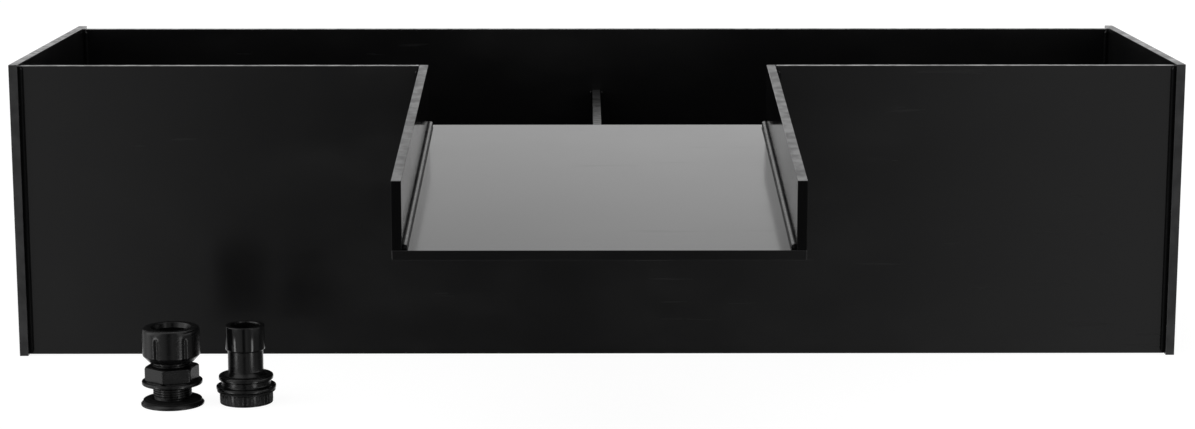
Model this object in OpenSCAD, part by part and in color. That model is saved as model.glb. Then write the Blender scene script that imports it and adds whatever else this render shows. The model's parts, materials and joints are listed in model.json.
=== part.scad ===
// Header tank with a sloping open chute, welded from plastic sheet,
// and its two loose pipe fittings. Millimetres, +Z up.
// The origin is the centre of the tank's underside. The chute points to -Y.

/* [Tank] */
// Length over the two end panels
box_l = 1200; // [900:10:1600]
// Depth of an end panel, front to back
box_d = 375; // [300:5:500]
// Height of an end panel
box_h = 304; // [270:2:400]
// Thickness of the sheet that the tank is made of
sheet_t = 9; // [6:0.5:14]
// How far an end panel stands out past the front and back walls
end_proud = 9; // [6:0.5:16]
// How far the top edges of the long walls lie below the end panels
wall_drop = 2.2; // [0:0.2:8]

/* [Chute] */
// Clear width between the cheeks
chute_w = 347; // [200:1:600]
// Reach of the chute in front of the front wall
chute_run = 398; // [150:1:600]
// Fall of the chute floor from the tank to the lip
chute_fall = 52.5; // [20:0.5:90]
// Thickness of the chute floor
chute_t = 9; // [6:0.5:14]
// Height of a cheek above the chute floor, and depth of the floor below the wall's top
cheek_h = 62; // [30:0.5:90]
// Thickness of a cheek
cheek_t = 9; // [6:0.5:14]
// Gap between the chute and the edge of the cut-out that it passes through
cut_gap = 0.5; // [0.2:0.1:1.5]

/* [Brace] */
// Thickness of the brace across the tank
brace_t = 9; // [6:0.5:14]
// Depth of the brace from its top edge to its bottom edge
brace_h = 40; // [20:1:80]
// Height of the chute floor's rear edge above the top edge of the brace
brace_drop = 8.5; // [2:0.5:20]

/* [Weld beads] */
// Leg of the beads in the steps at the end panels
step_bead = 5; // [3:0.5:6]
// Leg of the beads inside the tank
tank_bead = 6; // [3:0.5:10]
// Leg of the beads along the chute
chute_bead = 6; // [3:0.5:10]
// Leg of the beads at the ends of the brace
brace_bead = 4; // [3:0.5:8]

/* [Wall holes] */
// Distance of each hole's centre from the end panel beside it
hole_inset = 161; // [60:1:250]
// Height of the holes' centres
hole_z = 60; // [45:1:120]
// Radial clearance of a hole round a threaded barrel
hole_gap = 0.5; // [0.2:0.1:2]

/* [Threads, pipe and hose] */
// Diameter of the pipe that the connector takes
pipe_d = 32; // [20:0.5:50]
// Radial clearance round that pipe
pipe_gap = 0.15; // [0.1:0.05:0.4]
// Wall of a threaded barrel round the pipe socket
barrel_wall = 2.35; // [1.5:0.05:5]
// Width of the step that stops the pipe in its socket
stop_w = 2.15; // [1:0.05:4]
// Diameter of the spigot where it grips a hose
hose_d = 38; // [28:0.5:50]
// Radial clearance of a nut's bore on its barrel
thread_gap = 0.05; // [0.02:0.01:0.1]
// Radial clearance of a loose ring on its barrel
ring_gap = 0.3; // [0.2:0.05:0.6]
// Gap between faces of two pieces that turn on each other
face_gap = 0.1; // [0.05:0.05:0.3]

/* [Pipe connector] */
// Place of the pipe connector along the tank
connector_x = -410; // [-440:1:-400]
// Place of the pipe connector in front of the tank
connector_y = -385; // [-500:1:-300]
// Reach of the connector's flange past the barrel
flange_rim = 11.8; // [8:0.1:16]
// Thickness of that flange
flange_t = 4; // [2.5:0.5:6]
// Reach of the rubber gasket past the barrel
gasket_rim = 9.5; // [6:0.5:11]
// Thickness of that gasket
gasket_t = 3; // [2:0.5:4]
// Height of the slip washer's underside above the ground
washer_z = 20.3; // [14:0.1:22]
// Reach of the slip washer past the barrel
washer_rim = 10.5; // [6:0.5:13]
// Thickness of the slip washer
washer_t = 3.8; // [2:0.2:5]
// Least wall of the back nut, between its thread and its flats
back_nut_wall = 4.5; // [2:0.1:6]
// Height of the back nut
back_nut_h = 13.5; // [10:0.5:16]
// Height of the barrel's open end above the ground
barrel_top = 58; // [56:1:80]
// Depth of the pipe socket
socket_depth = 18; // [12:1:30]
// Length of the barrel inside the cap nut
cap_engage = 15; // [12:0.5:15]
// Height of the rubber sealing ring
seal_h = 3; // [2:0.5:5]
// Height of the split grip ring
grip_h = 4.8; // [3:0.2:8]
// Height of the cap nut's mouth above the grip ring
mouth_h = 10; // [8:0.5:16]
// Radial clearance of the mouth round the pipe
mouth_gap = 1.5; // [1:0.1:1.8]
// Wall of the cap nut round the barrel
cap_wall = 9; // [8:0.25:14]
// Number of grip flutes round the cap nut
cap_flutes = 6; // [6:1:16]
// Radius of a grip flute
flute_r = 2; // [1:0.25:2.5]

/* [Hose spigot] */
// Place of the hose spigot along the tank
spigot_x = -340; // [-350:1:-330]
// Place of the hose spigot in front of the tank
spigot_y = -377; // [-500:1:-300]
// Length of the part that grips the hose
hose_grip_l = 24; // [15:1:40]
// Step in radius from the hose grip down to the neck
neck_step = 2; // [0.5:0.25:3]
// Wall of the neck
neck_wall = 3; // [2:0.25:5]
// Size of the cone at the foot of the neck
neck_flare = 4; // [1:0.5:6]
// Length of the neck
neck_l = 24.5; // [15:0.5:40]
// Reach of the round collar past the neck
collar_rim = 9.25; // [6:0.25:12]
// Height of the round collar
collar_h = 4.5; // [4:0.5:10]
// Reach of the waist under the collar past the neck
waist_rim = 6.75; // [3:0.25:7.5]
// Height of the waist
waist_h = 6; // [3:0.5:8]
// Wall of the threaded stub
stub_wall = 4.5; // [2:0.25:6]
// Reach of the spigot's flange past the stub
spigot_flange_rim = 10.25; // [8:0.25:13]
// Thickness of that flange
spigot_flange_t = 3.3; // [2.5:0.1:5]
// Reach of the spigot's gasket past the stub
spigot_gasket_rim = 9.5; // [6:0.5:12]
// Thickness of the spigot's gasket
spigot_gasket_t = 2; // [1:0.5:3]
// Wall of the ribbed nut
spigot_nut_wall = 7.1; // [5:0.1:10]
// Height of the ribbed nut
spigot_nut_h = 11.5; // [9:0.5:16]
// Number of grooves between the nut's ribs
nut_grooves = 36; // [20:1:44]
// Radius of a groove
groove_r = 0.9; // [0.5:0.1:1.2]

/* [Hidden] */
$fn = 96;

// Sheet and fitting colours
sheet_black = [0.07, 0.07, 0.075];
bead_black = [0.11, 0.11, 0.11];
fitting_black = [0.05, 0.05, 0.055];
rubber_grey = [0.16, 0.16, 0.16];

// Planes of the tank
inner_l = box_l - 2 * sheet_t;
wall_front = -box_d / 2 + end_proud;
wall_inside = wall_front + sheet_t;
inner_d = -2 * wall_inside;
wall_top = box_h - wall_drop;

// Planes of the chute
crest_h = wall_top - cheek_h;
lip_y = wall_front - chute_run;
lip_h = crest_h - chute_fall;
chute_slope = atan2(chute_fall, wall_inside - lip_y);
chute_outer_w = chute_w + 2 * cheek_t;
chute_length = (wall_inside - lip_y) / cos(chute_slope);
chute_under = chute_t / cos(chute_slope);
cut_w = chute_outer_w + 2 * cut_gap;
cut_bottom = crest_h - sheet_t * tan(chute_slope) - chute_under;
brace_top = crest_h - brace_drop;

// Radii of the fittings
socket_r = pipe_d / 2 + pipe_gap;
flow_r = socket_r - stop_w;
barrel_r = socket_r + barrel_wall;
nut_bore_r = barrel_r + thread_gap;
ring_bore_r = barrel_r + ring_gap;
hole_r = barrel_r + hole_gap;
cap_r = barrel_r + cap_wall;
mouth_r = pipe_d / 2 + mouth_gap;
hose_r = hose_d / 2;
neck_r = hose_r - neck_step;
neck_bore_r = neck_r - neck_wall;
stub_bore_r = barrel_r - stub_wall;
collar_r = neck_r + collar_rim;
waist_r = neck_r + waist_rim;

// Clearance of the sealing rings from the pipe and from the cap nut round them
seal_gap = 0.25;
seal_outer_r = nut_bore_r - seal_gap;
seal_inner_r = socket_r + seal_gap;

// Heights up the pipe connector
back_nut_z = washer_z + washer_t + face_gap;
cap_z = barrel_top - cap_engage;
grip_z = barrel_top + seal_h + face_gap;
cap_ledge = grip_z + grip_h + face_gap - cap_z;
cap_h = cap_ledge + mouth_h;

// Heights up the hose spigot
spigot_gasket_z = spigot_nut_h + face_gap;
spigot_flange_z = spigot_gasket_z + spigot_gasket_t + face_gap;
waist_z = spigot_flange_z + spigot_flange_t;
collar_z = waist_z + waist_h;
neck_z = collar_z + collar_h;
hose_z = neck_z + neck_l;
spigot_top = hose_z + hose_grip_l;
// The stub ends this far above the ground
stub_end = 1;

// Small allowance that keeps a cut clear of the faces it passes through
over = 1;
// Chamfers on nuts and on thin rims
nut_chamfer = 1.5;
rim_chamfer = 0.8;
// Rounded shoulder at the top of the cap nut, and cone of its skirt
shoulder_r = 7;
skirt_h = 6;
skirt_in = 5.5;
// Widening of the mouth at the top of the cap nut
mouth_flare = 1.4;
mouth_flare_h = 4;
// Step of the arcs in turned profiles, in degrees
arc_step = 15;
// A grip flute stops this far under the rounded shoulder
flute_end = 1.2;
// How far the axis of a flute or groove lies outside the surface, as a share of its radius
flute_lift = 0.3;
// Width of the split in the grip ring
grip_split = 3;
// Turn of the hex nut and of the flutes about the connector's axis
back_nut_turn = 49;
cap_turn = 7;

// ---------- general shapes ----------

// Convex quarter-round bead along +Z, its flats on the X = 0 and Y = 0 planes
module bead(length, leg) {
    linear_extrude(length) intersection() {
        circle(leg);
        square(leg);
    }
}

// Bead along +X from the origin, its flats on Y = 0 and Z = 0
module bead_x(length, leg) {
    rotate([90, 0, 90]) bead(length, leg);
}

// Sheet of thickness t along X whose side view is a list of [y, z] points
module side_sheet(points, t) {
    rotate([90, 0, 90]) linear_extrude(t) polygon(points);
}

// Hexagonal prism with turned chamfers at both ends
module hex_block(af, h, chamfer) {
    corner_r = af / 2 / cos(30);
    intersection() {
        cylinder(r = corner_r, h = h, $fn = 6);
        rotate_extrude() polygon([
            [0, 0], [corner_r - chamfer, 0], [corner_r + over, chamfer + over],
            [corner_r + over, h - chamfer - over], [corner_r - chamfer, h], [0, h]
        ]);
    }
}

// Flat ring
module ring(outer_r, inner_r, h) {
    difference() {
        cylinder(r = outer_r, h = h);
        translate([0, 0, -over]) cylinder(r = inner_r, h = h + 2 * over);
    }
}

// Puts a piece down where a fitting stands
module at_connector(z) {
    translate([connector_x, connector_y, z]) children();
}

module at_spigot(z) {
    translate([spigot_x, spigot_y, z]) children();
}

// ---------- tank ----------

module end_panel(x) {
    color(sheet_black) translate([x, -box_d / 2, 0]) cube([sheet_t, box_d, box_h]);
}

module left_end_panel() {
    end_panel(-box_l / 2);
}

module right_end_panel() {
    end_panel(box_l / 2 - sheet_t);
}

module front_wall() {
    color(sheet_black) difference() {
        translate([-inner_l / 2, wall_front, 0]) cube([inner_l, sheet_t, wall_top]);
        translate([-cut_w / 2, wall_front - over, cut_bottom])
            cube([cut_w, sheet_t + 2 * over, wall_top - cut_bottom + over]);
    }
}

module back_wall() {
    color(sheet_black) difference() {
        translate([-inner_l / 2, -wall_inside, 0]) cube([inner_l, sheet_t, wall_top]);
        for (side = [-1, 1])
            translate([side * (inner_l / 2 - hole_inset), -wall_inside - over, hole_z])
                rotate([-90, 0, 0]) cylinder(r = hole_r, h = sheet_t + 2 * over);
    }
}

module floor_panel() {
    color(sheet_black) translate([-inner_l / 2, wall_inside, 0]) cube([inner_l, inner_d, sheet_t]);
}

module cross_brace() {
    color(sheet_black) translate([-brace_t / 2, wall_inside, brace_top - brace_h])
        cube([brace_t, inner_d, brace_h]);
}

// ---------- chute ----------

module chute_floor() {
    drop = [chute_t * sin(chute_slope), chute_t * cos(chute_slope)];
    color(sheet_black) translate([-chute_outer_w / 2, 0, 0]) side_sheet([
        [wall_inside, crest_h], [lip_y, lip_h],
        [lip_y + drop[0], lip_h - drop[1]], [wall_inside, crest_h - chute_under]
    ], chute_outer_w);
}

module cheek(x) {
    color(sheet_black) translate([x, 0, 0]) side_sheet([
        [wall_inside, crest_h], [wall_inside, crest_h + cheek_h],
        [lip_y, lip_h + cheek_h], [lip_y, lip_h]
    ], cheek_t);
}

module left_cheek() {
    cheek(-chute_outer_w / 2);
}

module right_cheek() {
    cheek(chute_w / 2);
}

// ---------- weld beads ----------

// Upright beads in the steps between an end panel and the two long walls
module step_welds(side) {
    mirror([side < 0 ? 1 : 0, 0, 0]) color(bead_black)
        for (face = [-1, 1]) mirror([0, face < 0 ? 0 : 1, 0])
            translate([inner_l / 2, wall_front, 0])
                rotate([0, 0, 180]) bead(wall_top, step_bead);
}

module left_step_welds() {
    step_welds(-1);
}

module right_step_welds() {
    step_welds(1);
}

// Upright beads inside the tank, from the floor beads to the top
module inner_welds(side) {
    mirror([side < 0 ? 1 : 0, 0, 0]) color(bead_black)
        for (face = [-1, 1]) mirror([0, face < 0 ? 0 : 1, 0])
            translate([inner_l / 2, wall_inside, sheet_t + tank_bead])
                rotate([0, 0, 90]) bead(wall_top - sheet_t - tank_bead, tank_bead);
}

module left_inner_welds() {
    inner_welds(-1);
}

module right_inner_welds() {
    inner_welds(1);
}

// Beads round the edge of the floor inside the tank
module floor_welds() {
    end_run = inner_d - 2 * tank_bead;
    color(bead_black) {
        for (face = [-1, 1]) mirror([0, face < 0 ? 0 : 1, 0])
            translate([-inner_l / 2, wall_inside, sheet_t]) bead_x(inner_l, tank_bead);
        for (side = [-1, 1]) mirror([side < 0 ? 0 : 1, 0, 0])
            translate([-inner_l / 2, end_run / 2, sheet_t])
                rotate([90, 0, 0]) bead(end_run, tank_bead);
    }
}

// Bead along the foot of a cheek, down the slope of the chute
module chute_weld(side) {
    mirror([side < 0 ? 1 : 0, 0, 0]) color(bead_black)
        translate([chute_w / 2, wall_inside, crest_h]) rotate([chute_slope, 0, 0])
            rotate([90, 0, 0]) rotate([0, 0, 90])
                bead(chute_length - chute_bead * tan(chute_slope), chute_bead);
}

module left_chute_weld() {
    chute_weld(-1);
}

module right_chute_weld() {
    chute_weld(1);
}

// Beads outside, where the chute meets the front wall: one up each side
// and one along the underside of the chute floor
module chute_wall_welds() {
    side_top = wall_top - (sheet_t + chute_bead) * tan(chute_slope);
    reach = 2 * chute_bead;
    color(bead_black) {
        for (side = [-1, 1]) mirror([side < 0 ? 1 : 0, 0, 0])
            translate([chute_outer_w / 2, wall_front, cut_bottom])
                rotate([0, 0, -90]) bead(side_top - cut_bottom, chute_bead);
        translate([-chute_outer_w / 2, wall_front, cut_bottom])
            rotate([90, 0, 90]) linear_extrude(chute_outer_w) intersection() {
                circle(chute_bead);
                polygon([[0, 0], [-reach, -reach * tan(chute_slope)], [-reach, -reach], [0, -reach]]);
            }
    }
}

// Beads down both sides of the brace at each end
module brace_welds() {
    color(bead_black)
        for (side = [-1, 1]) mirror([side < 0 ? 1 : 0, 0, 0])
            for (face = [-1, 1]) mirror([0, face < 0 ? 0 : 1, 0])
                translate([brace_t / 2, wall_inside, brace_top - brace_h])
                    bead(brace_h, brace_bead);
}

// ---------- pipe connector ----------

module connector_body() {
    flange_r = barrel_r + flange_rim;
    color(fitting_black) at_connector(0) rotate_extrude() polygon([
        [flow_r, 0], [flange_r - rim_chamfer, 0], [flange_r, rim_chamfer],
        [flange_r, flange_t - rim_chamfer], [flange_r - rim_chamfer, flange_t],
        [barrel_r, flange_t], [barrel_r, barrel_top - rim_chamfer],
        [barrel_r - rim_chamfer, barrel_top], [socket_r, barrel_top],
        [socket_r, barrel_top - socket_depth], [flow_r, barrel_top - socket_depth]
    ]);
}

module connector_gasket() {
    color(rubber_grey) at_connector(flange_t) ring(barrel_r + gasket_rim, ring_bore_r, gasket_t);
}

module slip_washer() {
    color(fitting_black) at_connector(washer_z) ring(barrel_r + washer_rim, ring_bore_r, washer_t);
}

module back_nut() {
    color(fitting_black) at_connector(back_nut_z) difference() {
        rotate(back_nut_turn) hex_block(2 * (barrel_r + back_nut_wall), back_nut_h, nut_chamfer);
        translate([0, 0, -over]) cylinder(r = nut_bore_r, h = back_nut_h + 2 * over);
    }
}

// The rubber ring lies on the barrel's open end, under the grip ring
module seal_ring() {
    color(rubber_grey) at_connector(barrel_top) ring(seal_outer_r, seal_inner_r, seal_h);
}

module grip_ring() {
    color(fitting_black) at_connector(grip_z) difference() {
        ring(seal_outer_r, seal_inner_r, grip_h);
        translate([0, -grip_split / 2, -over]) cube([cap_r, grip_split, grip_h + 2 * over]);
    }
}

module cap_nut() {
    shoulder = [for (a = [0:arc_step:90]) [
        cap_r - shoulder_r * (1 - cos(a)), cap_h - shoulder_r * (1 - sin(a))
    ]];
    color(fitting_black) at_connector(cap_z) difference() {
        rotate_extrude() polygon(concat(
            [[0, 0], [cap_r - skirt_in, 0], [cap_r, skirt_h]], shoulder, [[0, cap_h]]
        ));
        rotate_extrude() polygon([
            [0, -over], [nut_bore_r, -over], [nut_bore_r, cap_ledge], [mouth_r, cap_ledge],
            [mouth_r, cap_h - mouth_flare_h], [mouth_r + mouth_flare, cap_h],
            [mouth_r + mouth_flare, cap_h + over], [0, cap_h + over]
        ]);
        for (i = [0:cap_flutes - 1]) rotate(cap_turn + i * 360 / cap_flutes)
            translate([cap_r + flute_lift * flute_r, 0, -over])
                cylinder(r = flute_r, h = cap_h - shoulder_r - flute_end + over);
    }
}

// ---------- hose spigot ----------

module spigot_body() {
    flange_r = barrel_r + spigot_flange_rim;
    edge_r = collar_h / 2;
    collar_edge = [for (a = [-90:arc_step:90]) [
        collar_r - edge_r * (1 - cos(a)), collar_z + edge_r * (1 + sin(a))
    ]];
    color(fitting_black) at_spigot(0) rotate_extrude() polygon(concat(
        [
            [stub_bore_r, stub_end], [barrel_r - rim_chamfer, stub_end], [barrel_r, stub_end + rim_chamfer],
            [barrel_r, spigot_flange_z], [flange_r - rim_chamfer, spigot_flange_z],
            [flange_r, spigot_flange_z + rim_chamfer], [flange_r, waist_z - rim_chamfer],
            [flange_r - rim_chamfer, waist_z], [waist_r, waist_z], [waist_r, collar_z]
        ],
        collar_edge,
        [
            [neck_r + neck_flare, neck_z], [neck_r, neck_z + neck_flare],
            [neck_r, hose_z - rim_chamfer], [hose_r, hose_z],
            [hose_r, spigot_top - rim_chamfer], [hose_r - rim_chamfer, spigot_top],
            [neck_bore_r, spigot_top], [neck_bore_r, neck_z], [stub_bore_r, waist_z]
        ]
    ));
}

module spigot_gasket() {
    color(rubber_grey) at_spigot(spigot_gasket_z)
        ring(barrel_r + spigot_gasket_rim, ring_bore_r, spigot_gasket_t);
}

module spigot_nut() {
    nut_r = barrel_r + spigot_nut_wall;
    color(fitting_black) at_spigot(0) difference() {
        rotate_extrude() polygon([
            [nut_bore_r, 0], [nut_r - rim_chamfer, 0], [nut_r, rim_chamfer],
            [nut_r, spigot_nut_h - rim_chamfer], [nut_r - rim_chamfer, spigot_nut_h],
            [nut_bore_r, spigot_nut_h]
        ]);
        for (i = [0:nut_grooves - 1]) rotate(i * 360 / nut_grooves)
            translate([nut_r + flute_lift * groove_r, 0, -over])
                cylinder(r = groove_r, h = spigot_nut_h + 2 * over);
    }
}

// ---------- drawn nodes ----------

left_end_panel();
right_end_panel();
front_wall();
back_wall();
floor_panel();
chute_floor();
left_cheek();
right_cheek();
cross_brace();
left_step_welds();
right_step_welds();
left_inner_welds();
right_inner_welds();
floor_welds();
left_chute_weld();
right_chute_weld();
chute_wall_welds();
brace_welds();
connector_body();
connector_gasket();
slip_washer();
back_nut();
grip_ring();
cap_nut();
seal_ring();
spigot_body();
spigot_gasket();
spigot_nut();
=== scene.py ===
"""Welded header tank with a sloping open chute, and its two loose pipe fittings: the finished looks.

Metres, +Z up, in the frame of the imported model. The chute points to -Y.
"""

import json
import math

import bmesh
import bpy
from bpy.props import FloatProperty, FloatVectorProperty, IntProperty, PointerProperty
from mathutils import Euler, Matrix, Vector


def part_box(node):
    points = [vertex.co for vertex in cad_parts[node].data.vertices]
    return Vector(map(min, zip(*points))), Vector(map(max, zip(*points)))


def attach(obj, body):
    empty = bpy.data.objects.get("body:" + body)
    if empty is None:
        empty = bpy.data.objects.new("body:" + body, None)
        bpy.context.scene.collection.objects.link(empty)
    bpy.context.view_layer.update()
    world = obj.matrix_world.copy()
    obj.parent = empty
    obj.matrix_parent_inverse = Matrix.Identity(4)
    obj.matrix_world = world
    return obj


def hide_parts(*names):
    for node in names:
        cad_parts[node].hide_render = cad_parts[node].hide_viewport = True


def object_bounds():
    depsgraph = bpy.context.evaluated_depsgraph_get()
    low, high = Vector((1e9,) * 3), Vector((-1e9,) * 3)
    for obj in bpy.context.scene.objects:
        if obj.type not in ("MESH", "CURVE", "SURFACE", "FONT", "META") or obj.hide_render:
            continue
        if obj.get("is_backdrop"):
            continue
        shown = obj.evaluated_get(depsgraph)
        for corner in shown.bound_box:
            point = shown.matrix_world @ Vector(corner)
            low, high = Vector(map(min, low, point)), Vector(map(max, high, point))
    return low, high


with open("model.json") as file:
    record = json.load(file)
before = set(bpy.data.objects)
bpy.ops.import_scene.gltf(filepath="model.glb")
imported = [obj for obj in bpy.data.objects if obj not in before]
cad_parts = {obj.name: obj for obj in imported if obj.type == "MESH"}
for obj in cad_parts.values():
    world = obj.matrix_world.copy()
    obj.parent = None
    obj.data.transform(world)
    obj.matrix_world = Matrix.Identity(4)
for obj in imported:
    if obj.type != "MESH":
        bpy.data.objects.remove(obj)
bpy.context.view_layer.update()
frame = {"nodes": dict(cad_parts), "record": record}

bl_info = {
    "name": "Sluice box",
    "version": (1, 0, 0),
    "blender": (4, 5, 0),
    "location": "3D View > Sidebar > Sluice box",
    "description": "Builds the finished looks of a welded plastic sluice box and its pipe fittings",
    "category": "Object",
}

MM = 0.001
# Gaps and walls of the fittings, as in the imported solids
THREAD_GAP = 0.05 * MM
SEAL_GAP = 0.25 * MM
RING_GAP = 0.3 * MM
PIPE_GAP = 0.25 * MM
STOP_WIDTH = 2.15 * MM
BACK_NUT_WALL = 4.5 * MM
BACK_NUT_TURN = math.radians(49)
CAP_TURN = math.radians(7)
TANK_SHEETS = ("left_end_panel", "right_end_panel", "front_wall", "back_wall", "floor_panel", "cross_brace")
CHEEKS = ("left_cheek", "right_cheek")
CHUTE_SHEETS = ("chute_floor", *CHEEKS)
# Faces that meet at a wider angle keep a sharp edge
CREASE = math.radians(38)
# Least cosine between two directions that count as the same
ALIGNED = 0.9
# Least cosine between the normal of a face and that of the flat it lies in
IN_FLAT = 0.99999
# Places of a sheet's materials: gloss face, sawn edge, and the painted shade on the cheeks' forward-facing
# ends
FACE, SAWN, PAINTED_SHADE = 0, 1, 2
# How deep a weld bead's centre lies in its corner, and its radius, as shares of its leg
BEAD_SINK = 0.32
BEAD_SWELL = 0.46
# How far short of the end of its corner a bead stops
TRIM = 1.0 * MM
WIDE_TRIM = 1.2 * MM
# Points on the arc of a rounded corner
ARC_POINTS = 5
# Points round a thread, and rows of points in each turn of it
THREAD_STEPS = 97
THREAD_ROWS = 8
# How far a barrel lies under the roots of its threaded sleeve
THREAD_SINK = 0.03 * MM
# Kinds of socket for the inputs of a Geometry Nodes tree
SOCKETS = {float: "NodeSocketFloat", int: "NodeSocketInt", tuple: "NodeSocketVector"}


# ---------- sizes and colours ----------

class SheetLooks(bpy.types.PropertyGroup):
    """Looks of the cut sheet."""
    rounding: FloatProperty(
        name="Rounding", description="Radius of the scraped edges of a sheet",
        default=0.00045, unit="LENGTH")
    colour: FloatVectorProperty(
        name="Colour", description="Colour of the sheet's faces",
        default=(0.0042, 0.0042, 0.0044), size=3, subtype="COLOR")
    dust: FloatVectorProperty(
        name="Dust", description="Colour of the thin film of dust on the faces",
        default=(0.0066, 0.0066, 0.0066), size=3, subtype="COLOR")
    sawn: FloatVectorProperty(
        name="Sawn", description="Colour of the sawn and scraped edges",
        default=(0.021, 0.021, 0.0215), size=3, subtype="COLOR")
    gloss: FloatProperty(
        name="Chute roughness", description="Least roughness of the chute's faces, which water keeps clean",
        default=0.10, min=0.0, max=1.0, subtype="FACTOR")
    wall_gloss: FloatProperty(
        name="Tank roughness", description="Least roughness of the tank's faces",
        default=0.19, min=0.0, max=1.0, subtype="FACTOR")
    sawn_gloss: FloatProperty(
        name="Sawn roughness", description="Roughness of the sawn edges",
        default=0.36, min=0.0, max=1.0, subtype="FACTOR")
    saw_pitch: FloatProperty(
        name="Saw marks", description="Distance between saw marks on a cut edge",
        default=0.0016, unit="LENGTH")


class BeadLooks(bpy.types.PropertyGroup):
    """Looks of the weld beads."""
    ripple_pitch: FloatProperty(
        name="Ripple pitch", description="Distance between ripples along a bead",
        default=0.0042, unit="LENGTH")
    ripple_height: FloatProperty(
        name="Ripple height", description="Height of a ripple",
        default=0.00016, unit="LENGTH")
    wander: FloatProperty(
        name="Wander", description="How far the surface of a bead swells and thins along its run",
        default=0.00045, unit="LENGTH")
    sample: FloatProperty(
        name="Sample", description="Distance between the rings that make a bead's surface",
        default=0.0009, unit="LENGTH")
    colour: FloatVectorProperty(
        name="Colour", description="Colour of the weld beads",
        default=(0.0025, 0.0025, 0.0026), size=3, subtype="COLOR")


class FittingLooks(bpy.types.PropertyGroup):
    """Looks of the moulded fittings and their rubber rings."""
    steps: IntProperty(
        name="Steps", description="Steps round a turned piece", default=160, min=48)
    thread_pitch: FloatProperty(
        name="Thread pitch", description="Pitch of the pipe threads",
        default=0.0023, unit="LENGTH")
    thread_depth: FloatProperty(
        name="Thread depth", description="Depth of the pipe threads",
        default=0.0011, unit="LENGTH")
    edge: FloatProperty(
        name="Edge", description="Radius of the moulded edges",
        default=0.0005, unit="LENGTH")
    ribs: IntProperty(
        name="Ribs", description="Number of ribs round the spigot's nut", default=36, min=12)
    flutes: IntProperty(
        name="Flutes", description="Number of grip flutes round the cap nut", default=6, min=4)
    colour: FloatVectorProperty(
        name="Colour", description="Colour of the moulded fittings",
        default=(0.0020, 0.0020, 0.0021), size=3, subtype="COLOR")
    rubber: FloatVectorProperty(
        name="Rubber", description="Colour of the rubber gaskets",
        default=(0.0060, 0.0060, 0.0060), size=3, subtype="COLOR")


class StageLooks(bpy.types.PropertyGroup):
    """Camera, floor and light."""
    eye: FloatVectorProperty(
        name="Camera", description="Place of the camera",
        default=(-0.011, -2.8035, 0.623), size=3, subtype="TRANSLATION")
    tilt: FloatProperty(
        name="Tilt", description="How far the camera looks down",
        default=math.radians(10.27), subtype="ANGLE")
    turn: FloatProperty(
        name="Turn", description="How far the camera turns to +X",
        default=math.radians(0.24), subtype="ANGLE")
    lens: FloatProperty(
        name="Lens", description="Focal length in millimetres, on a 36 mm wide sensor", default=77.81)
    floor_glow: FloatProperty(
        name="Floor glow", description="Light that the pale floor gives off by itself", default=0.93)
    backdrop: FloatProperty(
        name="Backdrop", description="Brightness of the studio behind the tank", default=1.45)
    lamps: FloatProperty(
        name="Lamps", description="Brightness of the two low soft boxes beside the camera", default=5.0)
    dark_front: FloatProperty(
        name="Dark front", description="Brightness of the room behind the camera", default=0.05)


# ---------- small helpers ----------

def looks(name):
    """One of the groups of settings."""
    return getattr(bpy.context.scene, name)


def show(name, mesh):
    """A new object at the origin that holds a mesh."""
    piece = bpy.data.objects.new(name, mesh)
    bpy.context.scene.collection.objects.link(piece)
    return piece


def finish_piece(piece, body, slot, *nodes):
    """Puts a finished piece on its body, in the place of its CAD nodes."""
    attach(piece, body)
    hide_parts(*nodes)


def mesh_of(work, name):
    """Turns a bmesh into a mesh and frees it."""
    mesh = bpy.data.meshes.new(name)
    work.to_mesh(mesh)
    work.free()
    return mesh


def evaluated_mesh(piece, name):
    """The mesh of a piece with its modifiers applied. The piece itself is removed."""
    graph = bpy.context.evaluated_depsgraph_get()
    mesh = bpy.data.meshes.new_from_object(piece.evaluated_get(graph), depsgraph=graph)
    mesh.name = name
    source = piece.data
    bpy.data.objects.remove(piece)
    bpy.data.meshes.remove(source)
    return mesh


def joined(name, meshes, *finishes, above=None):
    """One mesh of several, with smooth faces and sharp edges by angle.

    Faces above a height take the second finish.
    """
    work = bmesh.new()
    for mesh in meshes:
        work.from_mesh(mesh)
        bpy.data.meshes.remove(mesh)
    for face in work.faces:
        face.material_index = 1 if above and face.calc_center_median().z > above else 0
        face.smooth = True
    mesh = mesh_of(work, name)
    for finish in finishes:
        mesh.materials.append(finish)
    mesh.set_sharp_from_angle(angle=CREASE)
    return mesh


def mount_size(name):
    """Radius and length of a round mount, in metres."""
    for mount in frame["record"]["mounts"]:
        if mount["name"] == name:
            return mount["dims"]["r_mm"] * MM, mount["dims"]["length_mm"] * MM
    raise RuntimeError("the packed model has no mount named " + name)


def barrel_radius():
    """Radius over the pipe threads of both fittings."""
    return outer_radius("seal_ring") + SEAL_GAP - THREAD_GAP


def outer_radius(node):
    """Outside radius of a round node."""
    low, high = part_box(node)
    return (high.x - low.x) / 2


def centre_of(node):
    """Centre line of a round piece: X and Y of the middle of its box."""
    low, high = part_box(node)
    return (low + high) / 2


# ---------- node trees ----------

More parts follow.
